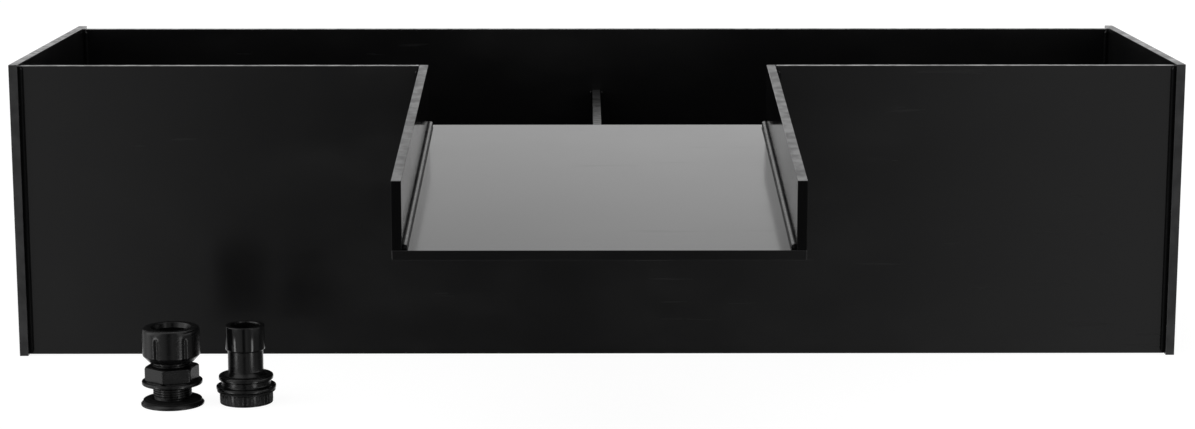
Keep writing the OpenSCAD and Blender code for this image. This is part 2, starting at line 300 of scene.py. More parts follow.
class Graph:
    """A node tree, built a node at a time."""

    def put(self, socket, value):
        """Links a socket, or sets its own value."""
        if isinstance(value, bpy.types.NodeSocket):
            self.tree.links.new(value, socket)
        else:
            socket.default_value = value

    def add(self, kind, sockets=None, **settings):
        """A node with its settings, and its sockets linked or set by name. Returns its outputs."""
        node = self.tree.nodes.new(kind)
        for key, value in settings.items():
            setattr(node, key, value)
        for label, value in (sockets or {}).items():
            self.put(next(s for s in node.inputs if s.name == label and s.enabled), value)
        return node.outputs

    def math(self, operation, *values):
        """A Math node."""
        node = self.tree.nodes.new("ShaderNodeMath")
        node.operation = operation
        for socket, value in zip(node.inputs, values):
            self.put(socket, value)
        return node.outputs["Value"]

    def plus(self, first, second):
        """The sum of two values."""
        return self.math("ADD", first, second)

    def minus(self, first, second):
        """The first value less the second."""
        return self.math("SUBTRACT", first, second)

    def times(self, first, second):
        """The product of two values."""
        return self.math("MULTIPLY", first, second)

    def over(self, first, second):
        """The first value divided by the second."""
        return self.math("DIVIDE", first, second)


# ---------- materials ----------

class Shader(Graph):
    """A material's node tree."""

    def __init__(self, name, colour, roughness, **values):
        self.material = bpy.data.materials.new(name)
        self.material.use_nodes = True
        self.tree = self.material.node_tree
        self.skin = self.tree.nodes["Principled BSDF"]
        self.skin.inputs["Base Color"].default_value = (*colour, 1)
        self.skin.inputs["Roughness"].default_value = roughness
        for label, value in values.items():
            self.skin.inputs[label.replace("_", " ")].default_value = value
        self.place = self.tree.nodes.new("ShaderNodeTexCoord").outputs["Object"]

    def stretched(self, scale, turn=(0.0, 0.0, 0.0)):
        """Object coordinates stretched along the axes, and then turned."""
        sockets = {"Vector": self.place, "Scale": scale, "Rotation": turn}
        return self.add("ShaderNodeMapping", sockets)["Vector"]

    def noise(self, scale, detail=3.0, roughness=0.5, place=None, distortion=0.0):
        """Cloudy noise from 0 to 1."""
        return self.add("ShaderNodeTexNoise", {
            "Vector": place or self.place, "Scale": scale, "Detail": detail, "Roughness": roughness,
            "Distortion": distortion})["Fac"]

    def spread(self, value, low, high, to_low, to_high):
        """A value moved from one range to another, and kept in it."""
        node = self.tree.nodes.new("ShaderNodeMapRange")
        node.interpolation_type = "SMOOTHSTEP"
        self.put(node.inputs["Value"], value)
        for label, number in zip(("From Min", "From Max", "To Min", "To Max"), (low, high, to_low, to_high)):
            node.inputs[label].default_value = number
        return node.outputs["Result"]

    def blend(self, factor, first, second):
        """A colour between two colours."""
        node = self.tree.nodes.new("ShaderNodeMix")
        node.data_type = "RGBA"
        self.put(node.inputs["Factor"], factor)
        for label, colour in (("A", first), ("B", second)):
            socket = next(s for s in node.inputs if s.name == label and s.type == "RGBA")
            self.put(socket, colour if isinstance(colour, bpy.types.NodeSocket) else (*colour, 1))
        return next(s for s in node.outputs if s.type == "RGBA")

    def bump(self, height, depth, under=None, strength=1.0):
        """Relief of a real depth, in metres."""
        sockets = {"Strength": strength, "Distance": depth, "Height": height}
        if under:
            sockets["Normal"] = under
        return self.add("ShaderNodeBump", sockets)["Normal"]

    def wear(self, colour=None, roughness=None, normal=None):
        """Links what varies over the surface to the shader."""
        for label, value in (("Base Color", colour), ("Roughness", roughness), ("Normal", normal)):
            if value:
                self.put(self.skin.inputs[label], value)
        return self.material


def shaded(colour, factor):
    """A colour made darker or lighter."""
    return [part * factor for part in colour]


def scratches(shader, angle, density):
    """Fine handling scratches, 1 on a scratch and 0 beside it."""
    lines = shader.noise(1.0, 2.0, 0.5, shader.stretched((6, 130, 130), angle), 0.4)
    patches = shader.noise(5.0, 2.0)
    return shader.times(
        shader.spread(lines, 0.66, 0.74, 0.0, 1.0),
        shader.spread(patches, 1.0 - density, 1.1 - density, 0.0, 1.0))


def sheet_face_material(name, gloss):
    """Gloss black extruded sheet: faint swells, orange peel, scuffs and a film of dust."""
    seen = looks("sheet_looks")
    shader = Shader(name, seen.colour, gloss, IOR=1.5)
    swell = shader.noise(5.5, 1.5, 0.4)
    peel = shader.noise(260.0, 2.0, 0.5)
    normal = shader.bump(swell, 0.0003, None, 0.5)
    normal = shader.bump(peel, 0.00002, normal, 0.25)
    film = shader.noise(7.0, 5.0, 0.62, shader.stretched((1, 1, 1.8)))
    specks = shader.spread(shader.noise(420.0, 1.0), 0.70, 0.76, 0.0, 0.5)
    marks = shader.math(
        "MAXIMUM", scratches(shader, (0.3, 0.5, 0.2), 0.52), scratches(shader, (1.2, -0.4, 1.0), 0.50))
    dusty = shader.plus(shader.spread(film, 0.42, 0.78, 0.0, 0.8), shader.times(marks, 0.6))
    colour = shader.blend(shader.plus(dusty, specks), seen.colour, seen.dust)
    roughness = shader.plus(shader.spread(film, 0.3, 0.8, gloss, gloss + 0.07), shader.times(marks, 0.12))
    return shader.wear(colour, roughness, normal)


def sawn_edge_material():
    """Saw-cut and scraped edge of the sheet: close marks across the cut, duller than a face."""
    seen = looks("sheet_looks")
    shader = Shader("sawn_edge", seen.sawn, seen.sawn_gloss, IOR=1.5, Specular_IOR_Level=0.42)
    # A wave texture repeats once in 2 pi / 10 of its scale
    waves = 2 * math.pi / 10 / seen.saw_pitch
    marks = shader.add("ShaderNodeTexWave", {
        "Vector": shader.place, "Scale": waves, "Distortion": 2.2, "Detail": 3.0, "Detail Scale": 0.12,
    }, wave_type="BANDS", bands_direction="DIAGONAL")["Fac"]
    scraped = shader.noise(55.0, 3.0, 0.6)
    normal = shader.bump(marks, 0.00003, None, 0.18)
    normal = shader.bump(scraped, 0.0002, normal, 0.2)
    colour = shader.blend(
        shader.spread(scraped, 0.3, 0.75, 0.0, 1.0), shaded(seen.sawn, 0.75), shaded(seen.sawn, 1.5))
    gloss = seen.sawn_gloss
    roughness = shader.spread(shader.noise(90.0, 3.0), 0.3, 0.7, gloss - 0.08, gloss + 0.1)
    return shader.wear(colour, roughness, normal)


def painted_shade_end_material():
    """Ends of the cheeks, painted shade: darker than the faces and weakly reflecting, with fine lines down
    the cut.
    """
    seen = looks("sheet_looks")
    # painted shade: a third of the face colour and a weak reflection, so that the cheeks' front ends look
    # shaded
    dark = shaded(seen.colour, 0.3)
    shader = Shader("painted_shade_end", dark, 0.22, IOR=1.5, Specular_IOR_Level=0.10)
    lines = shader.noise(1.0, 2.0, 0.5, shader.stretched((900, 900, 25)))
    colour = shader.blend(lines, dark, shaded(dark, 2.0))
    return shader.wear(colour, None, shader.bump(lines, 0.00002, None, 0.3))


def bead_material():
    """Extruded weld bead: a glossy crown between dull, smeared flanks, with uneven flow."""
    seen = looks("bead_looks")
    shader = Shader("bead_plastic", seen.colour, 0.12, IOR=1.5)
    flow = shader.noise(150.0, 3.0, 0.55)
    cloud = shader.noise(38.0, 3.0, 0.5)
    normal = shader.bump(flow, 0.00012, None, 0.25)
    colour = shader.blend(cloud, seen.colour, shaded(seen.colour, 1.8))
    crown = shader.add("ShaderNodeAttribute", attribute_name="crown")["Fac"]
    shine = shader.spread(crown, 0.84, 0.95, 0.03, 0.30)
    shader.put(shader.skin.inputs["Specular IOR Level"], shine)
    roughness = shader.spread(cloud, 0.3, 0.7, 0.12, 0.19)
    return shader.wear(colour, roughness, normal)


def moulded_material(name, shine, grain):
    """Injection-moulded plastic: fine grain, flow clouding and rubbed patches."""
    seen = looks("fitting_looks")
    shader = Shader(name, seen.colour, shine, IOR=1.5, Specular_IOR_Level=0.34)
    skin = shader.noise(1400.0, 2.0, 0.5)
    flow = shader.noise(70.0, 3.0, 0.55, shader.stretched((1, 1, 2.5)))
    normal = shader.bump(flow, 0.0003, None, 0.10)
    normal = shader.bump(skin, 0.00004, normal, grain)
    rubbed = scratches(shader, (0.4, 0.9, 0.1), 0.56)
    colour = shader.blend(flow, seen.colour, shaded(seen.colour, 1.7))
    roughness = shader.plus(shader.spread(flow, 0.3, 0.7, shine, shine + 0.09), shader.times(rubbed, 0.15))
    return shader.wear(colour, roughness, normal)


def rubber_material():
    """Matt moulded rubber with bloom."""
    seen = looks("fitting_looks")
    shader = Shader("ring_rubber", seen.rubber, 0.5, IOR=1.45, Specular_IOR_Level=0.10)
    grain = shader.noise(900.0, 3.0, 0.6)
    bloom = shader.noise(60.0, 4.0, 0.6)
    colour = shader.blend(shader.spread(bloom, 0.4, 0.8, 0.0, 1.0), seen.rubber, shaded(seen.rubber, 2))
    roughness = shader.spread(bloom, 0.3, 0.7, 0.42, 0.62)
    return shader.wear(colour, roughness, shader.bump(grain, 0.0001, None, 0.5))


def floor_material():
    """Pale seamless floor with a very faint texture and contact shade."""
    seen = looks("stage_looks")
    shader = Shader("pale_floor", (0.8, 0.8, 0.8), 0.9, Specular_IOR_Level=0.0)
    paper = shader.noise(1.2, 3.0)
    shader.skin.inputs["Emission Color"].default_value = (1, 1, 1, 1)
    shader.skin.inputs["Emission Strength"].default_value = seen.floor_glow
    return shader.wear(shader.blend(paper, (0.16, 0.16, 0.16), (0.18, 0.18, 0.18)))


def material(name, make, *values):
    """The material of that name, made the first time that it is asked for."""
    return bpy.data.materials.get(name) or make(*values)


# ---------- Geometry Nodes ----------

class Tree(Graph):
    """A Geometry Nodes tree with named inputs, the last of them its material."""

    def __init__(self, name, inputs):
        self.tree = bpy.data.node_groups.new(name, "GeometryNodeTree")
        sockets = self.tree.interface
        sockets.new_socket("Geometry", in_out="INPUT", socket_type="NodeSocketGeometry")
        for label, value in inputs.items():
            socket = sockets.new_socket(label, in_out="INPUT", socket_type=SOCKETS[type(value)])
            socket.default_value = value
        sockets.new_socket("Material", in_out="INPUT", socket_type="NodeSocketMaterial")
        sockets.new_socket("Geometry", in_out="OUTPUT", socket_type="NodeSocketGeometry")
        self.given = self.tree.nodes.new("NodeGroupInput").outputs
        self.result = self.tree.nodes.new("NodeGroupOutput").inputs

    def clamped(self, value, low=0.0, high=1.0):
        """A value kept between two others."""
        return self.add("ShaderNodeClamp", {"Value": value, "Min": low, "Max": high})[0]

    def vector(self, operation, *values):
        """A Vector Math node. DOT_PRODUCT and LENGTH give a number."""
        node = self.tree.nodes.new("ShaderNodeVectorMath")
        node.operation = operation
        sockets = [s for s in node.inputs if s.enabled]
        for socket, value in zip(sockets, values):
            self.put(socket, value)
        return node.outputs["Value" if operation in ("DOT_PRODUCT", "LENGTH") else "Vector"]

    def scaled(self, vector, factor):
        """A vector times a number."""
        sockets = {"Vector": vector, "Scale": factor}
        return self.add("ShaderNodeVectorMath", sockets, operation="SCALE")["Vector"]

    def join(self, x, y, z):
        """A vector of three numbers."""
        return self.add("ShaderNodeCombineXYZ", {"X": x, "Y": y, "Z": z})[0]

    def finish(self, geometry):
        """Real mesh of the tree's own material, as the tree's result."""
        real = self.add("GeometryNodeRealizeInstances", {"Geometry": geometry})[0]
        real = self.add("GeometryNodeSetMaterial", {"Geometry": real, "Material": self.given["Material"]})[0]
        self.put(self.result["Geometry"], real)
        return self.tree


def grown(name, tree, values, mesh=None):
    """The plain mesh that a tree makes with these inputs, from a mesh or from nothing."""
    piece = show(name, mesh or bpy.data.meshes.new(name))
    modifier = piece.modifiers.new(name, "NODES")
    modifier.node_group = tree
    sockets = {s.name: s.identifier for s in tree.interface.items_tree if s.in_out == "INPUT"}
    for label, value in values.items():
        modifier[sockets[label]] = value
    return evaluated_mesh(piece, name)


def bead_tree():
    """Weld beads along the edges of a guide mesh: round, rippled, and closed at both ends."""
    tree = Tree("weld_bead", {
        "Radius": 0.004, "Sample": 0.001, "Ripple Pitch": 0.004, "Ripple Height": 0.0002, "Wander": 0.0004,
        "Sides": 16, "Seed": 3.0,
    })
    given = tree.given
    curve = tree.add("GeometryNodeMeshToCurve", {"Mesh": given["Geometry"]})[0]
    curve = tree.add(
        "GeometryNodeResampleCurve", {"Curve": curve, "Length": given["Sample"]}, mode="LENGTH")[0]
    run = tree.add("GeometryNodeSplineParameter")["Length"]
    whole_run = tree.add("GeometryNodeSplineLength")["Length"]
    from_end = tree.math("MINIMUM", run, tree.minus(whole_run, run))
    taper = tree.math("POWER", tree.clamped(tree.over(from_end, given["Radius"]), 0.02), 0.4)
    curve = tree.add(
        "GeometryNodeStoreNamedAttribute", {"Geometry": curve, "Name": "run", "Value": run},
        data_type="FLOAT", domain="POINT")[0]
    ring = tree.add(
        "GeometryNodeCurvePrimitiveCircle", {"Resolution": given["Sides"], "Radius": given["Radius"]})[0]
    tube = tree.add(
        "GeometryNodeCurveToMesh",
        {"Curve": curve, "Profile Curve": ring, "Scale": taper, "Fill Caps": True})[0]
    normal = tree.add("GeometryNodeInputNormal")[0]
    place = tree.add("GeometryNodeInputPosition")[0]
    lean = tree.add("GeometryNodeInputNamedAttribute", {"Name": "lean"}, data_type="FLOAT_VECTOR")[0]
    along = tree.add("GeometryNodeInputNamedAttribute", {"Name": "run"}, data_type="FLOAT")[0]
    crest = tree.times(tree.vector("DOT_PRODUCT", normal, lean), given["Radius"])
    uneven, swell = (tree.add(
        "ShaderNodeTexNoise", {"Vector": place, "W": given["Seed"], "Scale": scale, "Detail": 2.0},
        noise_dimensions="4D")[0] for scale in (90.0, 28.0))
    phase = tree.over(tree.plus(along, crest), given["Ripple Pitch"])
    phase = tree.plus(phase, tree.times(uneven, 1.6))
    ripple = tree.math("SINE", tree.times(phase, 2 * math.pi))
    lift = tree.times(ripple, given["Ripple Height"])
    lift = tree.plus(lift, tree.times(tree.minus(swell, 0.5), given["Wander"]))
    crown = tree.vector("NORMALIZE", tree.vector("ADD", lean, (0.0, 0.0, 0.8)))
    tube = tree.add(
        "GeometryNodeStoreNamedAttribute",
        {"Geometry": tube, "Name": "crown", "Value": tree.vector("DOT_PRODUCT", normal, crown)},
        data_type="FLOAT", domain="POINT")[0]
    tube = tree.add("GeometryNodeSetPosition", {"Geometry": tube, "Offset": tree.scaled(normal, lift)})[0]
    return tree.finish(tree.add("GeometryNodeSetShadeSmooth", {"Geometry": tube})[0])


def thread_tree():
    """Sleeve with a right-hand thread that runs out at both ends, round a vertical centre line."""
    tree = Tree("pipe_thread", {
        "Centre": (0, 0, 0), "Bottom": 0.0, "Top": 0.05, "Root Radius": 0.0174, "Depth": 0.0011,
        "Pitch": 0.0023, "Steps": 96, "Rows": 160, "Turns": 20.0,
    })
    given = tree.given
    grid = tree.add("GeometryNodeMeshGrid", {
        "Size X": 1.0, "Size Y": 1.0, "Vertices X": given["Steps"], "Vertices Y": given["Rows"]})[0]
    across = tree.add("ShaderNodeSeparateXYZ", {"Vector": tree.add("GeometryNodeInputPosition")[0]})
    share = tree.plus(across["X"], 0.5)
    row = tree.times(tree.plus(across["Y"], 0.5), given["Turns"])
    angle = tree.times(share, 2 * math.pi)
    climb = tree.minus(tree.plus(row, share), 1.0)
    height = tree.math("MULTIPLY_ADD", climb, given["Pitch"], given["Bottom"])
    height = tree.clamped(height, given["Bottom"], given["Top"])
    room = tree.math("MINIMUM", tree.minus(height, given["Bottom"]), tree.minus(given["Top"], height))
    ease = tree.clamped(tree.over(room, given["Pitch"]))
    saw = tree.math("MULTIPLY_ADD", tree.math("FRACT", row), 2.0, -1.0)
    form = tree.math("MULTIPLY_ADD", tree.minus(1.0, tree.math("ABSOLUTE", saw)), 2.0, -0.5)
    rise = tree.times(tree.times(tree.clamped(form), given["Depth"]), ease)
    radius = tree.plus(given["Root Radius"], rise)
    centre = tree.add("ShaderNodeSeparateXYZ", {"Vector": given["Centre"]})
    spot = tree.join(
        tree.math("MULTIPLY_ADD", tree.math("COSINE", angle), radius, centre["X"]),
        tree.math("MULTIPLY_ADD", tree.math("SINE", angle), radius, centre["Y"]),
        height)
    sleeve = tree.add("GeometryNodeSetPosition", {"Geometry": grid, "Position": spot})[0]
    sleeve = tree.add("GeometryNodeMergeByDistance", {"Geometry": sleeve, "Distance": 0.000005})[0]
    return tree.finish(tree.add("GeometryNodeSetShadeSmooth", {"Geometry": sleeve})[0])


def rib_tree():
    """Rounded upright ribs in a ring."""
    tree = Tree("nut_ribs", {
        "Centre": (0, 0, 0), "Count": 36, "Ring Radius": 0.025, "Rib Radius": 0.0012, "Bottom": 0.0,
        "Top": 0.011,
    })
    given = tree.given
    line = tree.add("GeometryNodeCurvePrimitiveLine", {
        "Start": tree.join(0.0, 0.0, given["Bottom"]), "End": tree.join(0.0, 0.0, given["Top"])})[0]
    line = tree.add("GeometryNodeResampleCurve", {"Curve": line, "Count": 12})[0]
    share = tree.add("GeometryNodeSplineParameter")["Factor"]
    middle = tree.math("ABSOLUTE", tree.math("MULTIPLY_ADD", share, 2.0, -1.0))
    round_end = tree.math("SQRT", tree.minus(1.0, tree.math("POWER", middle, 8.0)))
    ring = tree.add("GeometryNodeCurvePrimitiveCircle", {"Resolution": 10, "Radius": given["Rib Radius"]})[0]
    rib = tree.add("GeometryNodeCurveToMesh", {
        "Curve": line, "Profile Curve": ring, "Scale": tree.clamped(round_end, 0.05), "Fill Caps": True})[0]
    points = tree.add("GeometryNodeMeshCircle", {
        "Vertices": given["Count"], "Radius": given["Ring Radius"]})[0]
    ribs = tree.add("GeometryNodeInstanceOnPoints", {"Points": points, "Instance": rib})[0]
    ribs = tree.add("GeometryNodeRealizeInstances", {"Geometry": ribs})[0]
    ribs = tree.add("GeometryNodeTransform", {"Geometry": ribs, "Translation": given["Centre"]})[0]
    return tree.finish(tree.add("GeometryNodeSetShadeSmooth", {"Geometry": ribs})[0])


def flute_tree():
    """Upright grooves pressed into the outside of a turned mesh."""
    tree = Tree("grip_flutes", {
        "Centre": (0, 0, 0), "Count": 10, "Phase": 0.0, "Depth": 0.0016, "Width": 0.002, "Bottom": 0.0,
        "Top": 0.03, "Run Out": 0.002, "Least Radius": 0.022,
    })
    given = tree.given
    place = tree.add("GeometryNodeInputPosition")[0]
    arm = tree.vector("SUBTRACT", place, given["Centre"])
    parts = tree.add("ShaderNodeSeparateXYZ", {"Vector": arm})
    flat = tree.join(parts["X"], parts["Y"], 0.0)
    radius = tree.vector("LENGTH", flat)
    turn = tree.minus(tree.math("ARCTAN2", parts["Y"], parts["X"]), given["Phase"])
    step = tree.over(2 * math.pi, given["Count"])
    local = tree.minus(tree.math("FRACT", tree.plus(tree.over(turn, step), 0.5)), 0.5)
    arc = tree.times(tree.times(local, step), radius)
    share = tree.over(tree.math("ABSOLUTE", arc), given["Width"])
    groove = tree.clamped(tree.minus(1.0, tree.math("POWER", share, 2.2)))
    up = tree.clamped(tree.over(tree.minus(given["Top"], parts["Z"]), given["Run Out"]))
    down = tree.clamped(tree.over(tree.minus(parts["Z"], given["Bottom"]), given["Run Out"]))
    outside = tree.math("GREATER_THAN", radius, given["Least Radius"])
    push = tree.times(tree.times(up, down), tree.times(groove, outside))
    push = tree.times(tree.times(push, given["Depth"]), -1.0)
    offset = tree.scaled(tree.vector("NORMALIZE", flat), push)
    cut = tree.add("GeometryNodeSetPosition", {"Geometry": given["Geometry"], "Offset": offset})[0]
    return tree.finish(cut)


# ---------- sheets ----------

def harden(mesh, flats):
    """Gives flat faces their own true normal, so that only the rounded strips between them bend."""
    own = [next((n for n in flats if face.normal.dot(n) > IN_FLAT), None) for face in mesh.polygons]
    beside = {}
    for face, normal in zip(mesh.polygons, own):
        face.use_smooth = True
        if normal:
            beside.update((vertex, normal) for vertex in face.vertices)
    mesh.normals_split_custom_set([
        own[face.index] or beside.get(vertex) or mesh.vertices[vertex].normal
        for face in mesh.polygons for vertex in face.vertices
    ])


def sheet_mesh(node):
    """Rounded copy of a cut sheet: gloss faces first, sawn edges second, and on a cheek the painted shade of
    its forward-facing ends third.
    """
    work = bmesh.new()
    work.from_mesh(frame["nodes"][node].data)
    bmesh.ops.remove_doubles(work, verts=work.verts, dist=0.00001)
    bmesh.ops.dissolve_limit(
        work, angle_limit=math.radians(0.5), verts=work.verts, edges=work.edges, delimit=set())
    bmesh.ops.recalc_face_normals(work, faces=work.faces)
    low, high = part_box(node)
    across = min(range(3), key=lambda axis: high[axis] - low[axis])
    for face in work.faces:
        front = node in CHUTE_SHEETS and face.normal.y < -ALIGNED
        face.material_index = FACE if front or abs(face.normal[across]) > ALIGNED else SAWN
    flats = [face.normal.copy() for face in work.faces]
    mesh = mesh_of(work, node)
    seen = looks("sheet_looks")
    name, gloss = ("chute_face", seen.gloss) if node in CHUTE_SHEETS else ("sheet_face", seen.wall_gloss)
    mesh.materials.append(material(name, sheet_face_material, name, gloss))
    mesh.materials.append(material("sawn_edge", sawn_edge_material))
    if node in CHEEKS:
        mesh.materials.append(material("painted_shade_end", painted_shade_end_material))
    piece = show(node, mesh)
    bevel = piece.modifiers.new("scraped_edges", "BEVEL")
    bevel.width = seen.rounding
    bevel.segments = 3
    bevel.limit_method = "ANGLE"
    bevel.angle_limit = math.radians(30)
    mesh = evaluated_mesh(piece, node)
    harden(mesh, flats)
    # painted shade: a cheek's faces that turn towards -Y take the darker end material
    if node in CHEEKS:
        for face in mesh.polygons:
            if face.normal.y < -0.05 and abs(face.normal.z) < 0.3:
                face.material_index = PAINTED_SHADE
    return mesh


def make_sheets(nodes):
    """The finished sheets of some nodes."""
    for node in nodes:
        finish_piece(show("cut_" + node, sheet_mesh(node)), "tank", "sheet", node)


# ---------- weld beads ----------

def chute_rise():
    """Slope of the chute floor as a rise for each metre towards the tank."""
    low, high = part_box("left_cheek")
    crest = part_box("chute_floor")[1].z
    return (crest - low.z) / (high.y - low.y)


def bead_guide(name, runs):
    """Guide mesh with one edge for each run, each leaning out of its corner.

    A run is (start, end, lean): lean points out of the corner, and is as long as the centre is deep in it.
    """
    mesh = bpy.data.meshes.new(name)
    points = []
    leans = []
    for start, end, lean in runs:
        points += [Vector(start) + Vector(lean), Vector(end) + Vector(lean)]
        leans += [Vector(lean).normalized()] * 2
    edges = [(2 * i, 2 * i + 1) for i in range(len(runs))]
    mesh.from_pydata(points, edges, [])
    field = mesh.attributes.new("lean", "FLOAT_VECTOR", "POINT")
    for item, lean in zip(field.data, leans):
        item.vector = lean
    return mesh


def make_beads(name, leg, runs, seed, *nodes):
    """Beads of one leg along some runs, in one piece. A lean is the sum of the corner's two directions."""
    seen = looks("bead_looks")
    runs = [(start, end, Vector(lean) * BEAD_SINK * leg) for start, end, lean in runs]
    tree = bpy.data.node_groups.get("weld_bead") or bead_tree()
    mesh = grown(name, tree, {
        "Radius": BEAD_SWELL * leg, "Sample": seen.sample, "Ripple Pitch": seen.ripple_pitch,
        "Ripple Height": seen.ripple_height, "Wander": seen.wander, "Seed": float(seed),
        "Material": material("bead_plastic", bead_material),
    }, bead_guide(name, runs))
    finish_piece(show(name, mesh), "tank", "weld_bead", *nodes)


def make_corner_beads(side):
    """Upright beads at one end of the tank: in the outside steps, and inside the corners."""
    label = "left" if side < 0 else "right"
    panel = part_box(label + "_end_panel")
    wall_x = panel[1].x if side < 0 else panel[0].x
    front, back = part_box("front_wall"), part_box("back_wall")
    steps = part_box(label + "_step_welds")
    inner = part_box(label + "_inner_welds")
    step_leg = steps[1].x - steps[0].x
    inner_leg = inner[1].x - inner[0].x
    outside = []
    inside = []
    for y_out, y_in, away in ((front[0].y, front[1].y, -1), (back[1].y, back[0].y, 1)):
        outside.append(((wall_x, y_out, WIDE_TRIM), (wall_x, y_out, front[1].z - TRIM), (-side, away, 0)))
        inside.append(((wall_x, y_in, inner[0].z - inner_leg / 2), (wall_x, y_in, front[1].z - WIDE_TRIM),
                       (-side, -away, 0)))
    make_beads(label + "_step_beads", step_leg, outside, 2 + side, label + "_step_welds")
    make_beads(label + "_inner_beads", inner_leg, inside, 6 + side, label + "_inner_welds")


def make_floor_beads():
    """Beads round the edge of the floor inside the tank."""
    low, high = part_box("floor_panel")
    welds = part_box("floor_welds")
    z = high.z
    leg = welds[1].z - welds[0].z
    runs = [
        ((low.x, low.y, z), (high.x, low.y, z), (0, 1, 1)),
        ((high.x, high.y, z), (low.x, high.y, z), (0, -1, 1)),
        ((low.x, high.y, z), (low.x, low.y, z), (1, 0, 1)),
        ((high.x, low.y, z), (high.x, high.y, z), (-1, 0, 1)),
    ]
    make_beads("floor_beads", leg, runs, 11, "floor_welds")


def make_chute_beads():
    """Beads along the feet of the cheeks, down the slope of the chute."""
    rise = chute_rise()
    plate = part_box("chute_floor")
    slope = math.atan(rise)
    up = Vector((0, -math.sin(slope), math.cos(slope)))
    for side, label in ((-1, "left"), (1, "right")):
        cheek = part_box(label + "_cheek")
        x = cheek[1].x if side < 0 else cheek[0].x
        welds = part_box(label + "_chute_weld")
        leg = welds[1].x - welds[0].x
        start = (x, plate[1].y - TRIM, plate[1].z)
        end = (x, plate[0].y + WIDE_TRIM, cheek[0].z + WIDE_TRIM * rise)
        lean = Vector((-side, 0, 0)) + up
        make_beads(label + "_chute_bead", leg, [(start, end, lean)], 20 + side, label + "_chute_weld")


def make_wall_beads():
    """Beads outside, where the chute meets the front wall: up each side and along the underside."""
    plate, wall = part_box("chute_floor"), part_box("front_wall")
    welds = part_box("chute_wall_welds")
    leg = wall[0].y - welds[0].y
    rise = chute_rise()
    cheek_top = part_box("left_cheek")[1].z - (plate[1].y - wall[0].y) * rise
    under = cheek_top - (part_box("left_cheek")[1].z - plate[1].z)
    thick = (plate[1].z - plate[0].z) - (plate[1].y - plate[0].y) * rise
    under -= thick * math.hypot(1, rise)
    y = wall[0].y
    runs = []
    for side in (-1, 1):
        x = side * plate[1].x
        runs.append(((x, y, under), (x, y, cheek_top - 3 * MM), (side, -1, 0)))
    runs.append(((plate[0].x, y, under), (plate[1].x, y, under), (0, -1, -1)))
    make_beads("chute_wall_beads", leg, runs, 31, "chute_wall_welds")


def make_brace_beads():
    """Beads down both sides of the brace at each end."""
    brace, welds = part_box("cross_brace"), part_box("brace_welds")
    leg = welds[1].x - brace[1].x
    runs = []
    for side in (-1, 1):
        x = side * brace[1].x
        for y, away in ((brace[0].y, 1), (brace[1].y, -1)):
            runs.append(((x, y, brace[0].z + TRIM), (x, y, brace[1].z - TRIM), (side, away, 0)))
    make_beads("brace_beads", leg, runs, 41, "brace_welds")


# ---------- turned and moulded pieces ----------

def softened(outline, edge):
    """A closed outline of (radius, height) points with its corners rounded by arcs.

    A point may have a third number, the radius of its own arc.
    """
    straight = math.radians(86)
    most = 0.45
    result = []
    count = len(outline)
    for i, point in enumerate(outline):
        here = Vector(point[:2])
        radius = point[2] if len(point) > 2 else edge
        before = Vector(outline[i - 1][:2]) - here
        after = Vector(outline[(i + 1) % count][:2]) - here
        half = before.angle(after) / 2
        reach = min(radius / math.tan(half), most * before.length, most * after.length)
        if half > straight or reach < 0.01 * MM:
            result.append(here)
            continue
        first, last = here + before.normalized() * reach, here + after.normalized() * reach
        for step in range(ARC_POINTS):
            t = step / (ARC_POINTS - 1)
            result.append((1 - t) ** 2 * first + 2 * t * (1 - t) * here + t ** 2 * last)
    return result


def skin(work, rings, closed):
    """Faces between each ring of points and the next, and from the last to the first where it closes."""
    for ring, following in zip(rings, rings[1:] + rings[:1] if closed else rings[1:]):
        for j, point in enumerate(ring):
            k = (j + 1) % len(ring)
            work.faces.new((point, following[j], following[k], ring[k]))


def turned(name, centre, outline, edge=None, rows=None, gap=None):
    """Closed ring turned round a vertical centre line from an outline of (radius, height) points.

    rows is the longest stretch of outline between two points. gap is the (first, last) angle of an
    open ring, whose two ends are closed.
    """
    seen = looks("fitting_looks")
    edge = seen.edge if edge is None else edge
    points = softened(outline, edge)
    if rows:
        filled = []
        for i, point in enumerate(points):
            following = points[(i + 1) % len(points)]
            parts = max(1, math.ceil((following - point).length / rows))
            filled += [point.lerp(following, k / parts) for k in range(parts)]
        points = filled
    area = sum(a.x * b.y - b.x * a.y for a, b in zip(points, points[1:] + points[:1]))
    if area < 0:
        points.reverse()
    work = bmesh.new()
    first, last = gap or (0.0, 2 * math.pi)
    steps = seen.steps
    rings = []
    for i in range(steps + 1 if gap else steps):
        angle = first + (last - first) * i / steps
        rings.append([
            work.verts.new((centre.x + p.x * math.cos(angle), centre.y + p.x * math.sin(angle), p.y))
            for p in points
        ])
    skin(work, rings, not gap)
    if gap:
        work.faces.new(rings[0])
        work.faces.new(list(reversed(rings[-1])))
        bmesh.ops.recalc_face_normals(work, faces=work.faces)
    return mesh_of(work, name)


def moulded(name="moulded_plastic", shine=0.21, grain=0.4):
    """Moulded plastic. By itself it is the satin one of the nuts and of the threaded pieces."""
    return material(name, moulded_material, name, shine, grain)


def threaded(name, centre, bottom, top):
    """Threaded sleeve between two heights of a barrel."""
    seen = looks("fitting_looks")
    tree = bpy.data.node_groups.get("pipe_thread") or thread_tree()
    turns = math.ceil((top - bottom) / seen.thread_pitch) + 1
    return grown(name, tree, {
        "Centre": centre, "Bottom": bottom, "Top": top, "Root Radius": barrel_radius() - seen.thread_depth,
        "Depth": seen.thread_depth, "Pitch": seen.thread_pitch, "Steps": THREAD_STEPS,
        "Rows": turns * THREAD_ROWS + 1, "Turns": float(turns), "Material": moulded(),
    })


